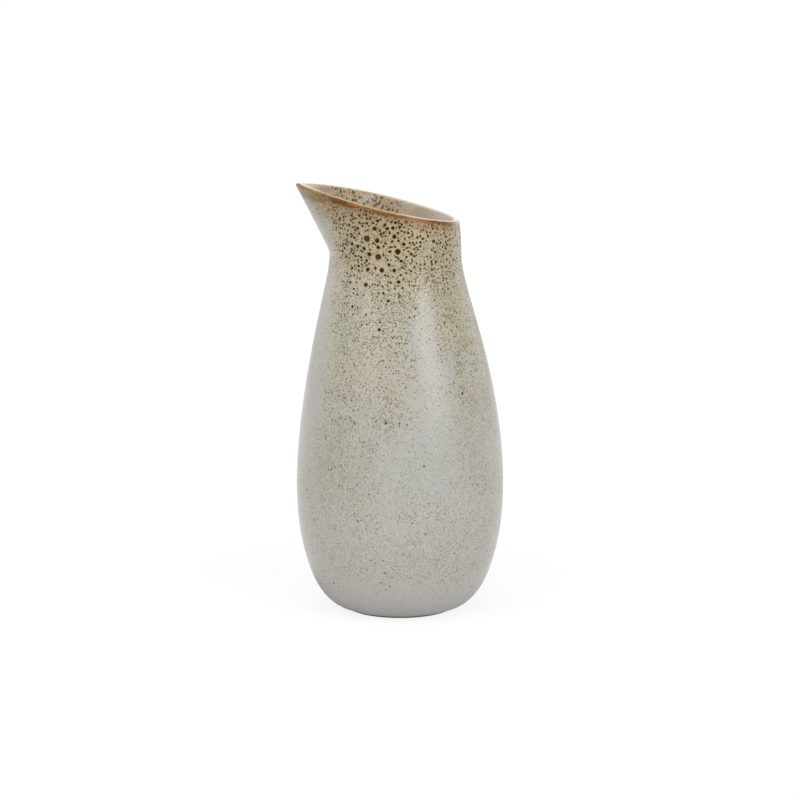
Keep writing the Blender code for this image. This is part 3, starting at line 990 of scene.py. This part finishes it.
def add_recess_glaze(material):
    """The glaze in the recess, a disc that creeps down the foot ring at its edge: its underside falls with
    the square of the way across the creep."""
    edge = FOOT_RADIUS - FOOT_RING_WIDTH - SEAT_GAP
    top = FOOT_RECESS - SEAT_GAP
    creep = np.linspace(0, 1, CREEP_ROWS)
    meniscus = np.column_stack([edge - CREEP_WIDTH * (1 - creep), top - GLAZE - GLAZE * creep ** 2])
    grid = turned(np.vstack([meniscus, [(edge, top)]]), CLAY_MESH["around"])
    disc = ringed_piece("recess_glaze", grid, material, first_pole=True, last_pole=True)
    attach(disc, "root")
    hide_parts("base_glaze")


def add_camera():
    """The camera at the photograph's viewing angle."""
    data = bpy.data.cameras.new("camera")
    data.lens = FOCAL_LENGTH_MM
    data.sensor_width = FILM_WIDTH_MM
    camera = new_object("camera", data)
    camera.location = camera_axes()[0]
    camera.rotation_euler = (math.pi / 2 - CAMERA_PITCH, 0, 0)
    bpy.context.scene.camera = camera


def add_lamp(name, azimuth, elevation, distance, width, height, watts):
    """A soft box that faces the carafe: azimuth is degrees to the right of the camera's side."""
    data = bpy.data.lights.new(name, "AREA")
    data.shape = "RECTANGLE"
    data.size, data.size_y = width, height
    data.energy = watts
    lamp = new_object(name, data)
    turn, rise = math.radians(azimuth), math.radians(elevation)
    toward = np.array([math.sin(turn) * math.cos(rise), -math.cos(turn) * math.cos(rise), math.sin(rise)])
    lamp.location = np.array(LAMP_AIM) + distance * toward
    lamp.rotation_euler = (math.pi / 2 - rise, 0, turn)


def light_paths(tree):
    """Masks of the rays that come from the camera, and of those that a reflection or refraction sends out."""
    path = shade(tree, "ShaderNodeLightPath").outputs
    return path["Is Camera Ray"], either(tree, path["Is Glossy Ray"], path["Is Transmission Ray"])


def add_world():
    """An even surround that gives the fill light. It shows as plain white, and in reflections as a white
    backdrop behind the carafe, dimmer higher up, and a dim room on the camera's side."""
    world = bpy.data.worlds.new("studio")
    world.use_nodes = True
    tree = world.node_tree
    direction = shade(tree, "ShaderNodeTexCoord").outputs["Generated"]
    _, behind, above = parts(tree, direction)
    room_or_backdrop = ramp(tree, behind, -0.2, 0.8, DIM_ROOM, 1.4)
    backdrop = product(tree, room_or_backdrop, ramp(tree, above, 0.0, 0.4, 1.0, 0.5))
    seen, mirrored = light_paths(tree)
    gathered = reckon(tree, "SUBTRACT", 1.0, either(tree, seen, mirrored))
    strength = times_plus(tree, mirrored, backdrop, seen)
    strength = times_plus(tree, gathered, FILL, strength)
    background = tree.nodes["Background"]
    background.inputs["Color"].default_value = PLAIN_WHITE
    tree.links.new(strength, background.inputs["Strength"])
    bpy.context.scene.world = world


def floor_whiteness(tree, place, away, seen, mirrored):
    """How white the floor shows: plain white to the camera. In reflections it is white round the carafe, but
    for a painted shadow that dims it near the foot, and as dim as the room far out on the camera's side."""
    toward_back = parts(tree, place)["Y"]
    near_or_behind = either(tree, ramp(tree, away, 0.65, 0.25), ramp(tree, toward_back, -0.10, 0.40))
    # Painted shadow: the floor's reflected white is dimmed round this middle near the foot
    from_painted_shadow = vector_math(tree, "DISTANCE", place, PAINTED_SHADOW_MIDDLE)["Value"]
    reflected = product(
        tree,
        either(tree, near_or_behind, DIM_ROOM),
        ramp(tree, from_painted_shadow, 0.035, 0.085, 0.25, 1.0),
        ramp(tree, away, 0.9, 2.0, 1.05, 0.75),
    )
    return times_plus(tree, mirrored, reflected, reckon(tree, "MULTIPLY", seen, FLOOR_WHITE))


def add_floor():
    """A pale floor that shows as white, with a share of its shading left near the carafe for the shadow."""
    half = FLOOR_SIZE / 2
    plan = ((-half, -half), (half, -half), (half, half), (-half, half))
    mesh = bpy.data.meshes.new("floor")
    mesh.from_pydata([(x, y, -FLOOR_DROP) for x, y in plan], [], [(0, 1, 2, 3)])
    floor = new_object("floor", mesh)
    material, tree, surface = new_material("floor")
    surface.inputs["Base Color"].default_value = FLOOR_GREY
    surface.inputs["Roughness"].default_value = FLOOR_ROUGHNESS
    place = shade(tree, "ShaderNodeTexCoord").outputs["Object"]
    away = vector_math(tree, "LENGTH", place)["Value"]
    shaded = ramp(tree, away, SHADOW_REACH / 3, SHADOW_REACH, SHADOW_SHARE, 0.0)
    seen, mirrored = light_paths(tree)
    whiteness = floor_whiteness(tree, place, away, seen, mirrored)
    paper = shade(tree, "ShaderNodeBsdfDiffuse", {"Color": PLAIN_WHITE}).outputs[0]
    white = shade(tree, "ShaderNodeEmission", {"Color": PLAIN_WHITE, "Strength": whiteness}).outputs[0]
    shown = shade(tree, "ShaderNodeMixShader", {0: shaded, 1: white, 2: paper}).outputs[0]
    inputs = {0: either(tree, seen, mirrored), 1: surface.outputs[0], 2: shown}
    both = shade(tree, "ShaderNodeMixShader", inputs).outputs[0]
    tree.links.new(both, tree.nodes["Material Output"].inputs["Surface"])
    mesh.materials.append(material)


def main():
    """Makes the finishes and the pieces that wear them, then the camera, the light and the floor."""
    bpy.context.scene.view_settings.view_transform = "Standard"
    speck_nodes = speck_group()
    melt_nodes = melt_group()
    add_glaze_coat(speckled_glaze(speck_nodes, neck_spot_group(), melt_nodes))
    add_clay_body(bare_clay(speck_nodes))
    add_recess_glaze(recess_glaze(speck_nodes, melt_nodes))
    add_camera()
    add_world()
    add_floor()
    for name, setting in LAMPS.items():
        add_lamp(name, *setting)


main()
